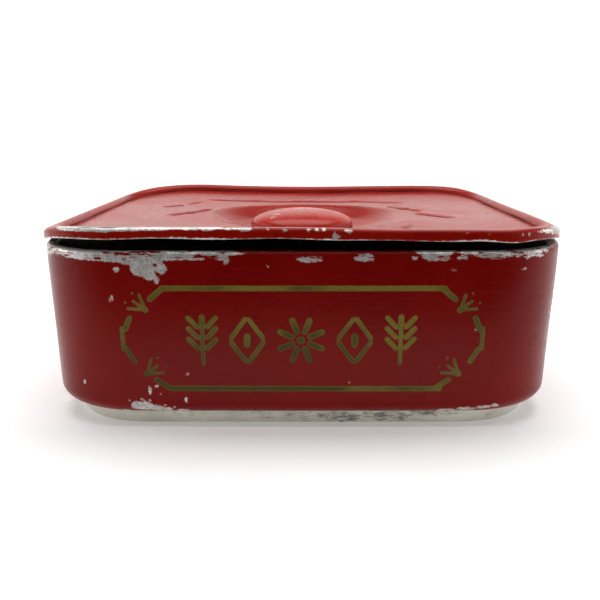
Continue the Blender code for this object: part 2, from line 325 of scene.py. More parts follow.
class Nodes:
    """Short helper for wiring a material."""

    def __init__(self, name):
        self.mat = bpy.data.materials.new(name)
        self.mat.use_nodes = True
        self.tree = self.mat.node_tree
        self.shader = self.tree.nodes["Principled BSDF"]
        self.place = self.tree.nodes.new("ShaderNodeTexCoord").outputs["Object"]

    def link(self, value, socket):
        """Wire a socket to a socket, or set it to a number or colour."""
        if isinstance(value, bpy.types.NodeSocket):
            self.tree.links.new(value, socket)
        elif isinstance(value, tuple) and len(value) == 3:
            socket.default_value = (*value, 1.0)
        else:
            socket.default_value = value

    def math(self, kind, a, b=0.0, c=0.0, clamp=False):
        node = self.tree.nodes.new("ShaderNodeMath")
        node.operation = kind
        node.use_clamp = clamp
        for value, socket in zip((a, b, c), node.inputs):
            self.link(value, socket)
        return node.outputs[0]

    def ramp(self, value, low, high, out_low=0.0, out_high=1.0):
        node = self.tree.nodes.new("ShaderNodeMapRange")
        node.interpolation_type = "SMOOTHSTEP"
        for item, socket in zip((value, low, high, out_low, out_high), node.inputs):
            self.link(item, socket)
        return node.outputs[0]

    def mapped(self, stretch=(1, 1, 1), offset=(0, 0, 0)):
        """Object coordinates, stretched and moved."""
        mapping = self.tree.nodes.new("ShaderNodeMapping")
        mapping.inputs["Scale"].default_value = stretch
        mapping.inputs["Location"].default_value = offset
        self.tree.links.new(self.place, mapping.inputs["Vector"])
        return mapping.outputs[0]

    def noise(self, scale, detail=3.0, rough=0.55, place=None):
        """Noise of features about 1/scale of a metre across."""
        node = self.tree.nodes.new("ShaderNodeTexNoise")
        self.tree.links.new(place or self.place, node.inputs["Vector"])
        node.inputs["Scale"].default_value = scale
        node.inputs["Detail"].default_value = detail
        node.inputs["Roughness"].default_value = rough
        return node.outputs["Fac"]

    def cells(self, scale, offset):
        """Distance to the nearest of scattered points, and that point's random colour."""
        node = self.tree.nodes.new("ShaderNodeTexVoronoi")
        node.inputs["Scale"].default_value = scale
        self.tree.links.new(self.mapped(offset=offset), node.inputs["Vector"])
        return node.outputs["Distance"], node.outputs["Color"]

    def split(self, kind, value):
        """Outputs of a node that takes a vector or a colour apart."""
        node = self.tree.nodes.new(kind)
        self.tree.links.new(value, node.inputs[0])
        return node.outputs

    def mix(self, share, a, b):
        """Mix of two colours."""
        node = self.tree.nodes.new("ShaderNodeMix")
        node.data_type = "RGBA"
        self.link(share, node.inputs["Factor"])
        self.link(a, node.inputs[6])
        self.link(b, node.inputs[7])
        return node.outputs[2]

    def blend(self, share, a, b):
        """Mix of two numbers."""
        node = self.tree.nodes.new("ShaderNodeMix")
        self.link(share, node.inputs["Factor"])
        self.link(a, node.inputs[2])
        self.link(b, node.inputs[3])
        return node.outputs[0]

    def read(self, name):
        node = self.tree.nodes.new("ShaderNodeAttribute")
        node.attribute_name = name
        return node.outputs["Fac"]

    def bump(self, height, strength, distance):
        node = self.tree.nodes.new("ShaderNodeBump")
        node.inputs["Strength"].default_value = strength
        node.inputs["Distance"].default_value = distance * MM
        self.tree.links.new(height, node.inputs["Height"])
        self.tree.links.new(node.outputs[0], self.shader.inputs["Normal"])

    def finish(self, colour, roughness, metallic):
        self.link(colour, self.shader.inputs["Base Color"])
        self.link(roughness, self.shader.inputs["Roughness"])
        self.link(metallic, self.shader.inputs["Metallic"])
        return self.mat


def darker(colour, share):
    return tuple(c * share for c in colour)


def lacquer_coat(n, deep, bright):
    """Mottled, lightly scratched red with painted shade where 'line' is high: colour, roughness, height."""
    mottle = n.noise(28.0, 4.0)
    fine = n.noise(420.0, 3.0)
    red = n.mix(n.ramp(mottle, 0.3, 0.7), deep, bright)
    red = n.mix(n.ramp(fine, 0.62, 0.78, 0.0, 0.25), red, darker(deep, 0.55))
    # Painted shade: where 'line' is high the red turns dark and dull.
    groove = n.read("line")
    red = n.mix(n.math("MULTIPLY", groove, 0.8), red, GROOVE_SHADE)
    scratch = n.noise(260.0, 2.0, 0.5, n.mapped((0.12, 0.12, 1.0), (3, 1, 2)))
    rough = n.ramp(scratch, 0.45, 0.75, 0.28, 0.31)
    rough = n.math("ADD", rough, n.ramp(mottle, 0.35, 0.8, -0.02, 0.04))
    rough = n.blend(groove, rough, 0.75)
    return red, rough, n.math("MULTIPLY", n.noise(900.0, 2.0), 0.15)


def stencil_paint(n, red, rough, height):
    """The coat with dull gold paint on it where 'stencil' is above zero, paler at the edges."""
    grain = n.noise(700.0, 3.0)
    ragged = n.math("ADD", n.read("stencil"), n.math("MULTIPLY_ADD", grain, 0.9, -0.45))
    inside = n.ramp(ragged, -0.05, 0.12)
    core = n.ramp(n.read("stencil"), 0.35, 1.0)
    drift = n.noise(22.0, 3.0, place=n.mapped(offset=(4, 0, 7)))
    middle = n.mix(n.ramp(drift, 0.40, 0.62), *PAINT_MIDDLE)
    edge = n.mix(n.ramp(drift, 0.35, 0.65), *PAINT_EDGE)
    paint = n.mix(core, edge, middle)
    paint = n.mix(n.ramp(grain, 0.60, 0.74, 0.0, 0.8), paint, PAINT_PIT)
    height = n.math("ADD", height, n.math("MULTIPLY", inside, 0.25))
    return n.mix(inside, red, paint), n.blend(inside, rough, 0.42), height


def ragged_wear(n, rim_streaks):
    """Depth into bare metal with a ragged edge, and with streaks of red left near the mouth."""
    coarse = n.math("MULTIPLY_ADD", n.noise(330.0, 5.0, 0.75), 4.0, -2.0)
    crumbs = n.math("MULTIPLY_ADD", n.noise(1300.0, 2.0), 1.3, -0.65)
    wear = n.math("ADD", n.read("wear"), n.math("ADD", coarse, crumbs))
    if rim_streaks:
        height = n.split("ShaderNodeSeparateXYZ", n.place)[2]
        near_rim = n.ramp(height, RIM_START * MM, RIM_FULL * MM)
        streak = n.noise(520.0, 4.0, 0.7, n.mapped((0.16, 0.5, 1.0), (5, 2, 9)))
        kept = n.math("MULTIPLY", near_rim, n.ramp(streak, 0.50, 0.60, 0.0, 3.2))
        wear = n.math("SUBTRACT", wear, kept)
    return wear


def rare_specks(n):
    """1 inside a few small round flakes and 0 elsewhere."""
    distance, tint = n.cells(62.0, (0.3, 0.7, 0.1))
    draw = n.split("ShaderNodeSeparateColor", tint)
    rare = n.math("GREATER_THAN", draw[0], 0.86)
    size = n.math("MULTIPLY", draw[1], 0.085)
    return n.math("MULTIPLY", rare, n.math("LESS_THAN", distance, size))


def chip_metal(n):
    """Tarnished, pitted tin of the chips, painted near black as shade where 'wear' marks the inside:
    colour, roughness.
    """
    tarnish = n.noise(160.0, 4.0, place=n.mapped(offset=(8, 2, 5)))
    metal = n.mix(n.ramp(tarnish, 0.38, 0.66), *CHIP_TIN)
    metal = n.mix(n.ramp(n.noise(700.0, 3.0, 0.7), 0.54, 0.66, 0.0, 0.75), metal, CHIP_PIT)
    metal = n.mix(n.ramp(n.read("wear"), 2.2, 3.0), metal, SHADED_INSIDE_TIN[0])
    return metal, n.ramp(tarnish, 0.3, 0.8, 0.30, 0.52)


def lacquer(name, reds, shine, stencil=False):
    """Red lacquer over tinplate, chipped to bare metal where 'wear' is high."""
    n = Nodes(name)
    colour, rough, height = lacquer_coat(n, *reds)
    if stencil:
        colour, rough, height = stencil_paint(n, colour, rough, height)
    wear = ragged_wear(n, rim_streaks=stencil)
    speck = rare_specks(n)
    bare = n.math("MAXIMUM", n.ramp(wear, -0.08, 0.08), speck)
    thin = n.math("MAXIMUM", n.ramp(wear, -0.42, -0.15), speck)
    edge = n.math("SUBTRACT", thin, bare, clamp=True)
    metal, metal_rough = chip_metal(n)
    colour = n.mix(bare, n.mix(edge, colour, CHIP_EDGE), metal)
    n.bump(n.math("SUBTRACT", height, bare), 0.55, LACQUER_DEPTH)
    n.shader.inputs["Specular IOR Level"].default_value = shine
    n.shader.inputs["Specular Tint"].default_value = GLOSS_TINT
    return n.finish(colour, n.blend(bare, rough, metal_rough), n.math("MULTIPLY", bare, TIN_METALLIC))


def tinplate(name, tones, stains=False):
    """Bare metal: streaked along its length, tarnished, stained where 'stain' is high."""
    n = Nodes(name)
    bright, dull = tones
    cloud = n.noise(60.0, 5.0, 0.6)
    streak = n.noise(240.0, 3.0, 0.6, n.mapped((0.15, 0.15, 1.0)))
    colour = n.mix(n.ramp(cloud, 0.3, 0.7), bright, dull)
    colour = n.mix(n.ramp(streak, 0.5, 0.8, 0.0, 0.5), colour, darker(dull, 0.6))
    rough = n.ramp(cloud, 0.3, 0.75, 0.36, 0.56)
    if stains:
        wisp = n.noise(420.0, 5.0, 0.75, n.mapped((0.35, 0.35, 1.0)))
        blot = n.math("ADD", n.read("stain"), n.math("MULTIPLY_ADD", wisp, 9.0, -4.5))
        dark = n.ramp(blot, -0.2, 1.6, 0.0, 0.7)
        colour = n.mix(dark, colour, TIN_STAIN)
        rough = n.blend(dark, rough, 0.65)
    n.bump(n.math("ADD", streak, n.noise(1200.0, 2.0)), 0.25, TIN_DEPTH)
    return n.finish(colour, rough, TIN_METALLIC)


# ---------------------------------------------------------------- wall

SEAM_ROWS_END, PLAIN_ROWS_START = 78.5, 77.6        # heights where the rows' spacing changes
HIDDEN_ROLL = 12                                    # section points of the roll inside the mouth
WALL_WAVE = 0.22
FRONT_SIDE, BACK_SIDE, END_SIDES = -60.0, 90.0, 120.0

# Lower edge of the bare metal at the mouth, along the front, as (x, z).
RIM_WEAR = [(-141, 90.4), (-131, 91.2), (-124, 92.4), (-112, 91.4), (-100, 91.2), (-92, 90.4),
            (-86, 89.6), (-72, 90.2), (-66, 91.6), (-58, 92.2), (-46, 92.6), (-32, 94.2), (-24, 96.6),
            (54, 96.8), (60, 93.4), (72, 93.2), (75, 95.6), (80, 94.6), (92, 92.8), (102, 92.2),
            (112, 91.8), (122, 92.2), (128, 95.4), (141, 96.6)]

# Chips as middle (x, z) and half sizes (x, z): the front first, by the mouth and then lower down.
FRONT_CHIPS = [(-79.6, 87.4, 6.0, 4.0), (-76.4, 83.8, 3.0, 2.4), (-72.8, 81.6, 1.2, 1.8),
               (-70.2, 87.4, 2.7, 2.8), (-92.4, 87.0, 1.5, 1.3), (-39.4, 92.6, 2.6, 0.8),
               (-37.6, 90.8, 1.6, 0.9), (-53, 92.6, 5, 1.0), (-84.5, 91.2, 5.0, 1.4),
               (3.6, 92.0, 6.2, 1.2), (30.4, 92.8, 4.8, 1.7), (61.5, 93.2, 2.0, 1.3),
               (66.5, 92.6, 6.2, 1.3), (79.0, 92.8, 2.4, 1.0), (55.5, 92.6, 1.2, 0.8),
               (111.0, 86.6, 1.1, 0.5), (75.2, 86.6, 1.1, 0.3), (-17.0, 88.2, 0.5, 0.4),
               (-96.2, 71.6, 0.6, 1.5), (88.0, 55.4, 0.5, 0.5), (-59.4, 31.4, 0.5, 0.5),
               (24, 27, 0.4, 0.4), (-115.0, 25.0, 0.6, 1.2), (-75.8, 24.6, 0.8, 0.5),
               (-79.4, 22.4, 0.5, 1.6), (-73.8, 20.4, 0.4, 0.5), (-60.8, 17.6, 0.7, 1.8),
               (-84.0, 17.6, 0.5, 0.4), (-79.6, 16.8, 0.7, 0.5), (-90.0, 16.8, 0.8, 0.6),
               (-72.0, 13.8, 0.5, 0.5), (-87.0, 13.6, 2.6, 2.8), (-82.6, 13.2, 4.2, 2.9),
               (-67.6, 12.2, 0.6, 0.4), (-76.8, 11.8, 4.0, 2.2), (-71.2, 10.8, 2.6, 1.6),
               (-63.0, 10.0, 3.0, 0.7), (-93.0, 9.8, 2.0, 1.0), (76.0, 10.2, 5.0, 0.9),
               (86.0, 11.2, 5.0, 1.0), (95.0, 12.4, 3.4, 0.9), (101.0, 13.2, 2.0, 0.8)]
BACK_CHIPS = [(-60, 91, 5, 2), (22, 92, 9, 1.6), (88, 90, 4, 3), (-20, 10, 8, 1.5), (70, 10, 5, 1.4)]
LEFT_CHIPS = [(30, 88, 3.2, 2.2), (-30, 11, 3.0, 1.4)]      # (y, z) for the two short sides
RIGHT_CHIPS = [(-20, 90, 5.0, 1.6), (64, 12, 4.0, 1.6)]


def wall_path():
    """Outer section of the wall from the end of its roll to its lower edge."""
    top = BODY_HEIGHT - ROLL_RADIUS
    stops = np.concatenate([np.linspace(top, SEAM_TOP, 5)[1:],
                            np.linspace(SEAM_TOP - SEAM_STEP, SEAM_ROWS_END, 11),
                            np.linspace(PLAIN_ROWS_START, SHOULDER_Z + 0.6, 74)])
    lean = WALL_LEAN / (top - SHOULDER_Z)
    return np.concatenate([
        arc(ROLL_RADIUS, top, ROLL_RADIUS, ROLL_END, 0.0, 26),
        np.stack([lean * (top - stops), stops], axis=1),
        arc(WALL_LEAN + SHOULDER_RADIUS, SHOULDER_Z, SHOULDER_RADIUS, 0.0, -SHOULDER_END, 16)])


def wall_wear(x, y, z):
    """Depth into bare metal on the wall: worn mouth and lower edge all round, chips, most in front."""
    front = y < FRONT_SIDE
    edge = np.interp(x, *zip(*RIM_WEAR))
    around = 93.4 + 1.2 * np.sin(x * 0.06 + y * 0.045) + 0.8 * np.sin(x * 0.021 - y * 0.09)
    wear = (z - np.where(front, edge, around)) * 0.9
    wear = np.maximum(wear, (8.9 - z) * 0.7 - 0.4)
    wear = add_chips(wear, front, x, z, FRONT_CHIPS)
    wear = add_chips(wear, x < -END_SIDES, y, z, LEFT_CHIPS)
    wear = add_chips(wear, x > END_SIDES, y, z, RIGHT_CHIPS)
    wear = add_chips(wear, y > BACK_SIDE, x, z, BACK_CHIPS)
    return np.clip(wear, NOWHERE, OUTSIDE_DEEPEST)


def make_wall():
    """Closed sheet, outside and inside, with the lock seam standing off the back."""
    grid = plan_grid(**WALL_GRID, seam=True)
    path = wall_path()
    back = inner_side(path, SHEET)[::-1]
    back = back[np.unique(np.r_[0:len(back):4, len(back) - 1])]
    section = np.concatenate([path, back])
    proud = SEAM_PROUD * smoothstep(SEAM_TOP - 0.1, SEAM_TOP - 0.5, section[:, 1])
    proud *= section[:, 1] > SHOULDER_Z + 0.3
    rings = np.array([level_ring(*outline(grid, inset, off), z) for (inset, z), off in zip(section, proud)])
    flat = rings.reshape(-1, 3)
    hold = smoothstep(8, 30, flat[:, 2]) * smoothstep(95, 82, flat[:, 2])
    push = WALL_WAVE * hold * ripple(flat, 55.0, 1)
    reach = np.linalg.norm(flat[:, :2], axis=1)
    flat[:, :2] += flat[:, :2] / reach[:, None] * push[:, None]
    mesh = loft("wall", rings, close=True)
    x, y, z = flat.T
    row = np.repeat(np.arange(len(section)), rings.shape[1])
    outer = row < len(path)
    attribute(mesh, "stencil", np.where(outer & (y < FRONT_SIDE), stencil_depth(x, z), NOWHERE))
    # The inner side and the hidden roll get INSIDE_MARK, which paints them dark as shade.
    attribute(mesh, "wear", np.where(outer & (row >= HIDDEN_ROLL), wall_wear(x, y, z), INSIDE_MARK))
    return mesh


# ---------------------------------------------------------------- foot pan

NECK_RADIUS, FLOOR_INSET, FLOOR_CROWN = 0.9, 60.0, 0.25
STAINED_SIDE = -100.0

# Stains on the front of the foot: middle (x, z), half sizes (x, z) and darkest value.
FOOT_STAINS = [(20, 3.4, 12, 3.4, 0.7), (44, 4.4, 16, 2.2, 1.0), (-12, 4.6, 22, 2.0, -0.2),
               (70, 5.2, 14, 1.2, 0.4), (-52, 4.8, 16, 1.6, -0.4), (50, 1.8, 12, 1.2, 0.2),
               (100, 4.2, 6, 1.4, -0.3), (6, 3.8, 9, 2.6, 0.1)]


def pan_path():
    """Outer section of the pan from its upper edge, inside the shoulder, to its floor."""
    offset = SHEET + GAP
    radius = SHOULDER_RADIUS - offset
    neck = SHOULDER_Z - radius - NECK_RADIUS
    ring = FOOT_INSET + FOOT_EDGE
    floor = ring + FOOT_RING
    return np.concatenate([
        np.array([[WALL_LEAN + offset - 0.15, PAN_TOP]]),
        arc(WALL_LEAN + SHOULDER_RADIUS, SHOULDER_Z, radius, 0.0, -0.5 * math.pi, 14),
        arc(FOOT_INSET - NECK_RADIUS, neck, NECK_RADIUS, 0.5 * math.pi, math.pi, 6)[1:],
        smooth_line((FOOT_INSET, neck), (FOOT_INSET, FOOT_EDGE), 8),
        arc(ring, FOOT_EDGE, FOOT_EDGE, 0.0, -0.5 * math.pi, 6)[1:],
        smooth_line((ring, 0.0), (floor, 0.0), 3),
        smooth_line((floor, 0.0), (floor + FLOOR_RISE, FLOOR_RISE), 5),
        smooth_line((floor + FLOOR_RISE, FLOOR_RISE), (FLOOR_INSET, FLOOR_RISE + FLOOR_CROWN), 8)])


def make_pan():
    """Outside of the pan, closed by its floor; the sheet's thickness comes later."""
    grid = plan_grid(**PAN_GRID, seam=True)
    rings = np.array([level_ring(*outline(grid, inset), z) for inset, z in pan_path()])
    mesh = loft("pan", rings, cap_last=True)
    x, y, z = rings.reshape(-1, 3).T
    stain = np.full(x.shape, NOWHERE)
    for *blob, darkest in FOOT_STAINS:
        stain = np.maximum(stain, np.minimum(-to_blob(x, z, *blob), darkest))
    attribute(mesh, "stain", np.where(y < STAINED_SIDE, stain, NOWHERE))
    return mesh


# ---------------------------------------------------------------- lid

BACK_DIP, BACK_HUMP, FRONT_DIP, END_LIFT, END_PULL = 1.3, 0.7, 1.2, 1.1, 0.9
SAG, HEM_DIP, HEM_WAVE = 3.6, 1.2, 0.3
PANEL_WAVE, LID_WAVE = 0.30, 0.15
PANEL_ROWS, DISH_ROWS, CALM_ROWS = 64, 19, 21       # the calm rows ease the dents in from the ridge
DISH_FLOOR_ROWS = (38, 30, 18, 8, HOLE_RADIUS)
DISH_EASE = -0.15                                   # start of the dish's slope, before its rim
MARK_WIDTH, LID_FRONT = 1.7, -70.0
WORN_CORNER, WORN_END_Z = (136.0, -96.0, 4.2), 4.8  # middles of the worn patches at the right
OUTER_FROM, OUTER_TO = 6, 30                        # section rows that show from outside
GROOVE_SHADE_FROM, GROOVE_SHADE_TO = 8, 2                           # rows of painted shade in the ridge's inner groove, counted back from the section's end

# Creases: start and end (x, y), half width, and height, which is below zero for a groove.
CREASES = [((-84, -14), (-75, 0), 2.3, -1.0), ((-75, 0), (-65, 19), 2.3, -1.0),
           ((-95, 27), (-86, 36), 2.4, -0.8), ((-81, 46), (-76, 55), 2.4, -0.7),
           ((62, 33), (70, 20), 2.3, -1.0), ((70, 20), (78, 8), 2.3, -1.0),
           ((76, -7), (92, -30), 2.3, -1.0), ((-68, 70), (-36, 73), 2.8, -0.8),
           ((-36, 73), (-4, 76), 2.8, -0.7), ((-4, 76), (40, 72), 2.8, -0.9),
           ((40, 72), (72, 59), 2.8, -0.8), ((59, -72), (63, -54), 2.2, 0.8),
           ((57, -74), (59, -62), 2.0, -0.6)]

# Chips on the lid's front edge, as middle (x, height over the hem) and half sizes.
LID_CHIPS = [(-36, 5.2, 4.0, 0.35), (-28.5, 5.1, 4.0, 0.7), (-17, 4.9, 0.5, 0.3), (-8.6, 4.8, 0.7, 0.5),
             (2.7, 4.8, 0.7, 0.4), (7, 4.9, 0.8, 0.5), (10.5, 5.0, 0.6, 0.4), (22.2, 4.7, 1.8, 0.7),
             (16.6, 2.0, 1.7, 1.0), (16.0, 3.0, 0.8, 0.8), (81, 4.4, 0.5, 0.2), (91.6, 4.2, 0.5, 0.5),
             (94, 3.6, 0.4, 0.2), (109, 3.4, 0.7, 0.3), (113, 3.3, 0.7, 0.4)]
RIDGE_CHIPS = [(-52, 124, 4, 0.9), (-44, 114.6, 1.2, 0.3), (60, 125, 2, 0.8), (-141, -66, 0.8, 4),
               (-139, -52, 0.4, 3)]                 # seen from above: middle (x, y) and half sizes

# Lower edge of the bare metal on the ridge at the front left, as (x, height over the hem).
BARE_CREST = [(-142, 9.0), (-129, 8.0), (-125, 5.4), (-121, 4.5), (-116, 4.3), (-108, 3.8), (-103, 4.1),
              (-97, 3.6), (-90, 4.0), (-82, 4.1), (-76, 4.5), (-72, 4.4), (-67, 4.6), (-64, 5.1),
              (-59, 5.2), (-57, 4.4), (-52, 4.8), (-47, 4.3), (-42, 4.9), (-39.5, 5.5), (-37, 6.6)]


def lid_rise(x, y):
    """Rise of the bent lid: level between its bent-down ends, with the dips and tilt of an old one."""
    back = smoothstep(10, 105, y)
    front = smoothstep(-40, -110, y)
    share = np.clip(np.abs(x) / (WIDTH / 2 + LID_OVERHANG), 0, 1)
    rise = BOW * (1 - share ** BOW_POWER)
    rise -= back * (BACK_DIP * bell(x, 8, 62) - BACK_HUMP * bell(x, -88, 26))
    rise -= front * FRONT_DIP * smoothstep(-6, 56, x) * smoothstep(135, 100, x)
    return rise + (1 - 0.5 * front) * END_LIFT * smoothstep(95, 141, x)


def lid_path():
    """Top section of the lid from the inside of the hem to the panel's edge."""
    skirt_top = RIDGE_HEIGHT - RIDGE_RADIUS
    panel = RIDGE_HEIGHT - PANEL_DROP
    bead = RIDGE_INNER - BEAD_RADIUS
    bead_arc = arc(bead, RIDGE_HEIGHT - BEAD_RADIUS, BEAD_RADIUS, 0.5 * math.pi, 0.92 * math.pi, 12)
    fillet = (PANEL_EDGE - PANEL_FILLET, panel + PANEL_FILLET)
    return np.concatenate([
        arc(HEM_RADIUS - LID_OVERHANG, HEM_RADIUS, HEM_RADIUS, -math.pi, 0.0, 14),
        smooth_line((-LID_OVERHANG, HEM_RADIUS), (-LID_OVERHANG, skirt_top), 4),
        arc(RIDGE_RADIUS - LID_OVERHANG, skirt_top, RIDGE_RADIUS, 0.0, 0.5 * math.pi, 10)[1:],
        smooth_line((RIDGE_RADIUS - LID_OVERHANG, RIDGE_HEIGHT), (bead, RIDGE_HEIGHT), 4),
        bead_arc[1:],
        smooth_line(bead_arc[-1], fillet, 3),
        arc(PANEL_EDGE, panel + PANEL_FILLET, PANEL_FILLET, 0.0, -0.5 * math.pi, 5)[1:]])


def lid_rows(grid, rim):
    """Rows of points of the flat lid, from its hem over the panel and dish to the rivet's hole."""
    guide_x, guide_y = outline(grid, PANEL_EDGE)
    reach = np.hypot(guide_x, guide_y)
    way_x, way_y = guide_x / reach, guide_y / reach
    panel = RIDGE_HEIGHT - PANEL_DROP
    rows = [level_ring(*outline(grid, inset), z) for inset, z in rim]
    for t in np.linspace(0, 1, PANEL_ROWS)[1:]:
        x = guide_x + (way_x * DISH_RADIUS - guide_x) * t
        y = guide_y + (way_y * DISH_RADIUS - guide_y) * t
        rows.append(level_ring(x, y, panel + (RIDGE_HEIGHT - DISH_RIM_DROP - panel) * t))
    for t in np.linspace(0, 1, DISH_ROWS)[1:]:
        radius = DISH_RADIUS + (DISH_FLOOR_RADIUS - DISH_RADIUS) * t
        slope = smoothstep(DISH_EASE, 1, t) - smoothstep(DISH_EASE, 1, 0) * (1 - t)
        drop = DISH_RIM_DROP + (DISH_DROP - DISH_RIM_DROP) * slope
        rows.append(level_ring(way_x * radius, way_y * radius, RIDGE_HEIGHT - drop))
    for radius in DISH_FLOOR_ROWS:
        rows.append(level_ring(way_x * radius, way_y * radius, RIDGE_HEIGHT - DISH_DROP))
    return np.array(rows)


def panel_dents(x, y):
    """Creases in the thin panel, with a slight swell beside each."""
    rise = np.zeros(x.shape)
    for a, b, wide, high in CREASES:
        away = to_segment(x, y, a, b, 0.0)
        rise += high * bell(away, 0, wide)
        rise -= 0.15 * high * bell(away, 3.0 * wide, 1.8 * wide)
    return rise


def crease_shade_lines(x, y):
    """Thin lines of painted shade along the bottoms of the grooves, tapered at their ends."""
    marks = np.zeros(x.shape)
    for a, b, _, high in CREASES:
        if high < 0:
            dx, dy = b[0] - a[0], b[1] - a[1]
            along = ((x - a[0]) * dx + (y - a[1]) * dy) / (dx * dx + dy * dy)
            taper = np.clip(np.minimum(along, 1 - along) * 5, 0, 1)
            marks = np.maximum(marks, -high * taper * bell(to_segment(x, y, a, b, 0.0), 0, MARK_WIDTH))
    return np.clip(marks, 0, 1)


def lid_wear(x, y, z, rim, outer):
    """Bare hem all round, worn ridge at the front left and at the right corner, chips elsewhere."""
    front = y < LID_FRONT
    hem = 0.52 + 0.30 * np.sin(x * 0.09 + y * 0.05) - z
    hem = hem * 1.3 - 0.4 * smoothstep(-10, 10, x) * smoothstep(90, 60, x) * front
    wear = np.where(outer, hem, NOWHERE)
    crest = np.interp(x, *zip(*BARE_CREST)) + 4 * smoothstep(-106, -96, y)
    crest += 4 * smoothstep(-116.0, -114.5, y) * (x > -100)
    wear = np.where(rim & front, np.maximum(wear, (z - crest) * 1.6), wear)
    wear = add_chips(wear, rim & front & outer, x, z, LID_CHIPS)
    cx, cy, cz = WORN_CORNER
    corner = 2.0 - 0.08 * np.hypot(x - cx, (y - cy) * 0.7) - 0.9 * np.abs(z - cz)
    wear = np.where(outer & front & (x > 118), np.maximum(wear, corner), wear)
    patches = 0.7 * np.sin(y * 0.083) * np.sin(y * 0.19 + 1) - 1.6 * np.abs(z - WORN_END_Z)
    end = 0.2 + 1.3 * smoothstep(-10, -75, y) + patches
    wear = np.where(outer & (x > 100) & (y > -80) & (y < 105), np.maximum(wear, end), wear)
    wear = add_chips(wear, rim & (z > 0.6), x, y, RIDGE_CHIPS)
    return np.clip(wear, NOWHERE, DEEPEST)


def make_lid():
    """Upper side of the lid, pressed, bent, sagging and creased; its thickness comes later."""
    rim = lid_path()
    rows = lid_rows(plan_grid(**LID_GRID), rim)
    row = np.repeat(np.arange(len(rows)), rows.shape[1])
    flat = rows.reshape(-1, 3)
    x, y, local = flat.T.copy()
    radial = np.hypot(x, y)
    inside = row >= len(rim)
    off_dish = smoothstep(46, 60, radial)
    calm = inside * off_dish * smoothstep(0, CALM_ROWS, row - len(rim))
    flat[:, 2] += LID_REST + lid_rise(x, y)
    flat[:, 2] += calm * (panel_dents(x, y) + PANEL_WAVE * ripple(flat, 45.0, 3))
    sag = bell(x, 0, 62) * bell(y, -74, 26) * smoothstep(-116.5, -104, y)
    flat[:, 2] -= SAG * sag * inside * smoothstep(50, 60, radial)
    hem = ~inside * (1 - smoothstep(0.5, 4.5, local)) * (y < -60)
    flat[:, 2] -= hem * (HEM_DIP * bell(x, 106, 11) + HEM_WAVE * np.sin(x * 0.11))
    flat[:, 2] += LID_WAVE * ripple(flat, 70.0, 5) * off_dish
    flat[:, 0] -= END_PULL * smoothstep(66, 118, x)
    mesh = loft("lid", rows[::-1])
    groove_shade_rows = (row >= len(rim) - GROOVE_SHADE_FROM) & (row < len(rim) - GROOVE_SHADE_TO)
    # Painted shade: dark lines in the crease bottoms and a dark band in the ridge's inner groove, kept in
    # 'line'.
    marks = np.maximum(crease_shade_lines(x, y) * calm, groove_shade_rows * (0.8 + 0.2 * np.sin(x * 0.13 + y * 0.09)))
    attribute(mesh, "line", marks.reshape(rows.shape[:2])[::-1])
    wear = lid_wear(x, y, local, ~inside, (row >= OUTER_FROM) & (row < OUTER_TO))
    attribute(mesh, "wear", wear.reshape(rows.shape[:2])[::-1])
    return mesh


# ---------------------------------------------------------------- knob

KNOB_SHIFT = -0.4
DOME_START, DOME_NECK, DOME_HEIGHT, DOME_POWER = 2.0, 0.48, KNOB_HEIGHT - 2.8, 0.94
KNOB_LIP = [(-3.8, 0.0), (-2.4, 0.0), (-1.2, 0.02), (-0.5, 0.15), (-0.1, 0.5), (0.05, 0.95),
            (-0.05, 1.35), (-0.3, 1.65), (-DOME_NECK, DOME_START)]      # (past the radius, z)
KNOB_CHIPS = [(-3, 2, 3.2, 1.6), (2, 5, 4.4, 1.2), (-17, -14, 2.6, 0.8), (-19, -19, 1.8, 0.6),
              (8, 3, 5, 0.7)]


def knob_path():
    """Outside of the knob from its turned-in lip to its crown, as (radius, z)."""
    path = [(KNOB_RADIUS + past, z) for past, z in KNOB_LIP]
    for turn in np.linspace(0, 0.5 * math.pi, 36)[1:]:
        radius = (KNOB_RADIUS - DOME_NECK) * max(math.cos(turn), 0.0) ** DOME_POWER
        path.append((max(radius, 0.6), DOME_START + DOME_HEIGHT * math.sin(turn)))
    return path


def make_knob():
    """Upper side of the knob, standing in the lid's dish; its thickness comes later."""
    base = LID_REST + BOW + RIDGE_HEIGHT - DISH_DROP + KNOB_STAND
    turn = np.linspace(0, 2 * math.pi, 161)[:-1]
    rings = np.array([level_ring(r * np.cos(turn) + KNOB_SHIFT, r * np.sin(turn), base + z)
                      for r, z in knob_path()[::-1]])
    mesh = loft("knob", rings, cap_first=True)
    x, y, _ = rings.reshape(-1, 3).T
    wear = add_chips(np.full(x.shape, NOWHERE), True, x, y, KNOB_CHIPS)
    attribute(mesh, "wear", np.clip(wear, NOWHERE, DEEPEST))
    return mesh


# ---------------------------------------------------------------- stage, in metres

FLOOR_RADIUS, SWEEP_RADIUS, WALL_HEIGHT, FLOOR_GLOW = 1.5, 0.7, 1.6, 0.18
CARD_SPAN, CARD_BACK, CARD_FRONT, CARD_TOP, CARD_FLOOR = 1.4, -0.29, -1.4, 0.7, 0.002
WORLD_LIGHT = 0.10
CAMERA_PLACE, CAMERA_TILT, CAMERA_LENS = (0.0, -0.4703, 0.1570), 0.24984, 42.63
CAMERA_SHIFT = (-0.0042667, 0.00805)        # tilt is radians below level, and the lens is millimetres
WHITE, WARM = (1.0, 1.0, 1.0), (1.0, 0.92, 0.82)

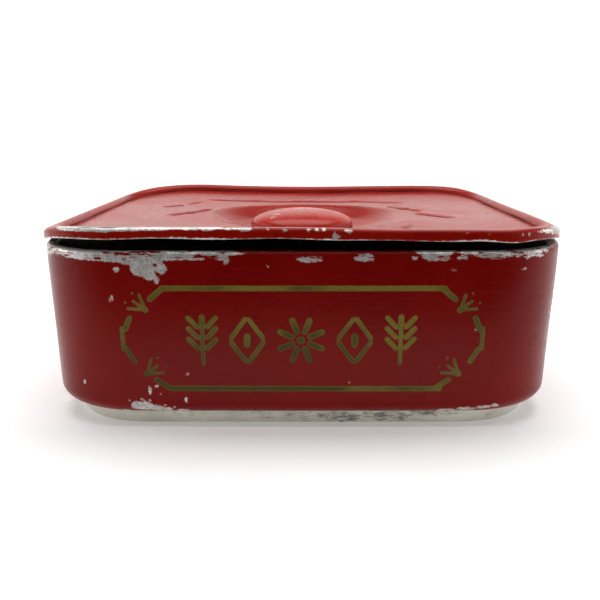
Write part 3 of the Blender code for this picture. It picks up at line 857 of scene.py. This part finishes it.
# Name, place, aim, size, power in watts, colour.
LIGHTS = [("top_box", (0.0, 0.34, 1.4), (0, 0.15, 0), (1.7, 0.9), 19, WHITE),
          ("front_strip", (0.0, -0.52, 1.35), (0, -0.12, 0.1), (1.4, 0.10), 3.4, WHITE),
          ("side_box", (-1.2, 0.1, 0.6), (0, 0.05, 0.0), (0.6, 0.6), 2.6, WHITE),
          ("side_box", (1.2, 0.1, 0.6), (0, 0.05, 0.0), (0.6, 0.6), 2.6, WHITE),
          ("back_wash", (0.0, 1.1, 1.7), (0, 2.2, 0.3), (2.0, 0.5), 12.5, WARM)]


def area_light(name, place, aim, size, power, colour):
    """Softbox that lights the tin and shows in its gloss, and stays out of the picture."""
    data = bpy.data.lights.new(name, "AREA")
    data.shape = "RECTANGLE"
    data.size, data.size_y = size
    data.energy = power
    data.color = colour
    obj = bpy.data.objects.new(name, data)
    obj.location = place
    obj.rotation_euler = (Vector(aim) - Vector(place)).to_track_quat("-Z", "Y").to_euler()
    obj.visible_camera = False
    bpy.context.scene.collection.objects.link(obj)


def make_stage():
    """Plain pale floor that glows faintly and curves up into a pale wall all round."""
    profile = [(0.001, 0.0), (FLOOR_RADIUS, 0.0)]
    for turn in np.linspace(0, 0.5 * math.pi, 17)[1:]:
        profile.append((FLOOR_RADIUS + SWEEP_RADIUS * math.sin(turn), SWEEP_RADIUS * (1 - math.cos(turn))))
    profile.append((FLOOR_RADIUS + SWEEP_RADIUS, WALL_HEIGHT))
    turn = np.linspace(0, 2 * math.pi, 97)[:-1]
    rings = [level_ring(r * np.cos(turn), r * np.sin(turn), z) / MM for r, z in profile[::-1]]
    mesh = loft("studio_floor", rings, cap_last=True)
    mesh.shade_smooth()
    obj = bpy.data.objects.new("studio_floor", mesh)
    bpy.context.scene.collection.objects.link(obj)
    n = Nodes("pale_paper")
    n.shader.inputs["Specular IOR Level"].default_value = 0.0
    n.shader.inputs["Emission Color"].default_value = (*WHITE, 1.0)
    n.shader.inputs["Emission Strength"].default_value = FLOOR_GLOW
    paper = n.mix(n.ramp(n.noise(3.0), 0.3, 0.7), (0.90, 0.90, 0.90), (0.92, 0.92, 0.92))
    mesh.materials.append(n.finish(paper, 0.9, 0.0))


def make_dark_card():
    """Dark cloth on the floor and up behind the camera, one-sided, that the camera doesn't see.

    It keeps the bright floor and wall out of the gloss and the bounced light on the front of the tin.
    """
    places = [(CARD_BACK, CARD_FLOOR), (CARD_FRONT, CARD_FLOOR), (CARD_FRONT, CARD_TOP)]
    verts = [(side * CARD_SPAN, y, z) for y, z in places for side in (-1, 1)]
    mesh = bpy.data.meshes.new("dark_card")
    mesh.from_pydata(verts, [], [(0, 2, 3, 1), (2, 4, 5, 3)])
    obj = bpy.data.objects.new("dark_card", mesh)
    bpy.context.scene.collection.objects.link(obj)
    n = Nodes("dark_cloth")
    weave = n.ramp(n.noise(90.0), 0.3, 0.7)
    n.shader.inputs["Specular IOR Level"].default_value = 0.0
    mesh.materials.append(n.finish(n.mix(weave, (0.006, 0.006, 0.006), (0.012, 0.011, 0.010)), 0.95, 0.0))
    clear = n.tree.nodes.new("ShaderNodeBsdfTransparent")
    side = n.tree.nodes.new("ShaderNodeNewGeometry")
    pick = n.tree.nodes.new("ShaderNodeMixShader")
    n.tree.links.new(side.outputs["Backfacing"], pick.inputs[0])
    n.tree.links.new(n.shader.outputs[0], pick.inputs[1])
    n.tree.links.new(clear.outputs[0], pick.inputs[2])
    n.tree.links.new(pick.outputs[0], n.tree.nodes["Material Output"].inputs["Surface"])
    obj.visible_camera = False
    obj.visible_shadow = False


def make_light():
    scene = bpy.context.scene
    scene.view_settings.view_transform = "Standard"
    scene.world = bpy.data.worlds.new("studio")
    scene.world.use_nodes = True
    background = scene.world.node_tree.nodes["Background"]
    background.inputs["Color"].default_value = (*WHITE, 1.0)
    background.inputs["Strength"].default_value = WORLD_LIGHT
    for light in LIGHTS:
        area_light(*light)


def make_camera():
    data = bpy.data.cameras.new("camera")
    data.sensor_width = 36.0
    data.lens = CAMERA_LENS
    data.shift_x, data.shift_y = CAMERA_SHIFT
    data.clip_start, data.clip_end = 0.01, 20.0
    obj = bpy.data.objects.new("camera", data)
    obj.location = CAMERA_PLACE
    obj.rotation_euler = (math.pi / 2 - CAMERA_TILT, 0.0, 0.0)
    bpy.context.scene.collection.objects.link(obj)
    bpy.context.scene.camera = obj


# ---------------------------------------------------------------- build

def piece(name, mesh, materials, body, replaced):
    """Finished piece that rides its body and stands for its CAD node."""
    obj = bpy.data.objects.new(name, mesh)
    bpy.context.scene.collection.objects.link(obj)
    for mat in materials:
        mesh.materials.append(mat)
    mesh.shade_smooth()
    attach(obj, body)
    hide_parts(replaced)
    return obj


def give_thickness(obj, inner_material=0):
    """Turn a bare surface into a sheet, thickened inwards."""
    solid = obj.modifiers.new("thickness", "SOLIDIFY")
    solid.thickness = SHEET * MM
    solid.offset = -1.0
    solid.material_offset = inner_material


def build():
    wall_red = lacquer("red_lacquer_stencilled", WALL_RED, WALL_SHINE, stencil=True)
    lid_red = lacquer("red_lacquer", LID_RED, LID_SHINE)
    knob_red = lacquer("knob_lacquer", KNOB_RED, KNOB_SHINE)
    inside = tinplate("shaded_inside_tinplate", SHADED_INSIDE_TIN)
    bare = tinplate("bare_tinplate", BARE_TIN, stains=True)
    steel = tinplate("plain_steel", STEEL)
    piece("side_wall", make_wall(), [wall_red], "tin", "body_wall")
    pan = piece("foot_pan", make_pan(), [bare], "tin", "base_pan")
    lid = piece("lid", make_lid(), [lid_red, inside], "lid", "lid_pressing")
    knob = piece("knob", make_knob(), [knob_red, inside], "lid", "knob_cap")
    give_thickness(pan)
    give_thickness(lid, inner_material=1)
    give_thickness(knob, inner_material=1)
    for node, mat in (("rim_wire", steel), ("knob_backing", bare), ("knob_rivet", steel)):
        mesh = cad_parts[node].data
        mesh.materials.clear()
        mesh.materials.append(mat)


build()
make_stage()
make_dark_card()
make_light()
make_camera()
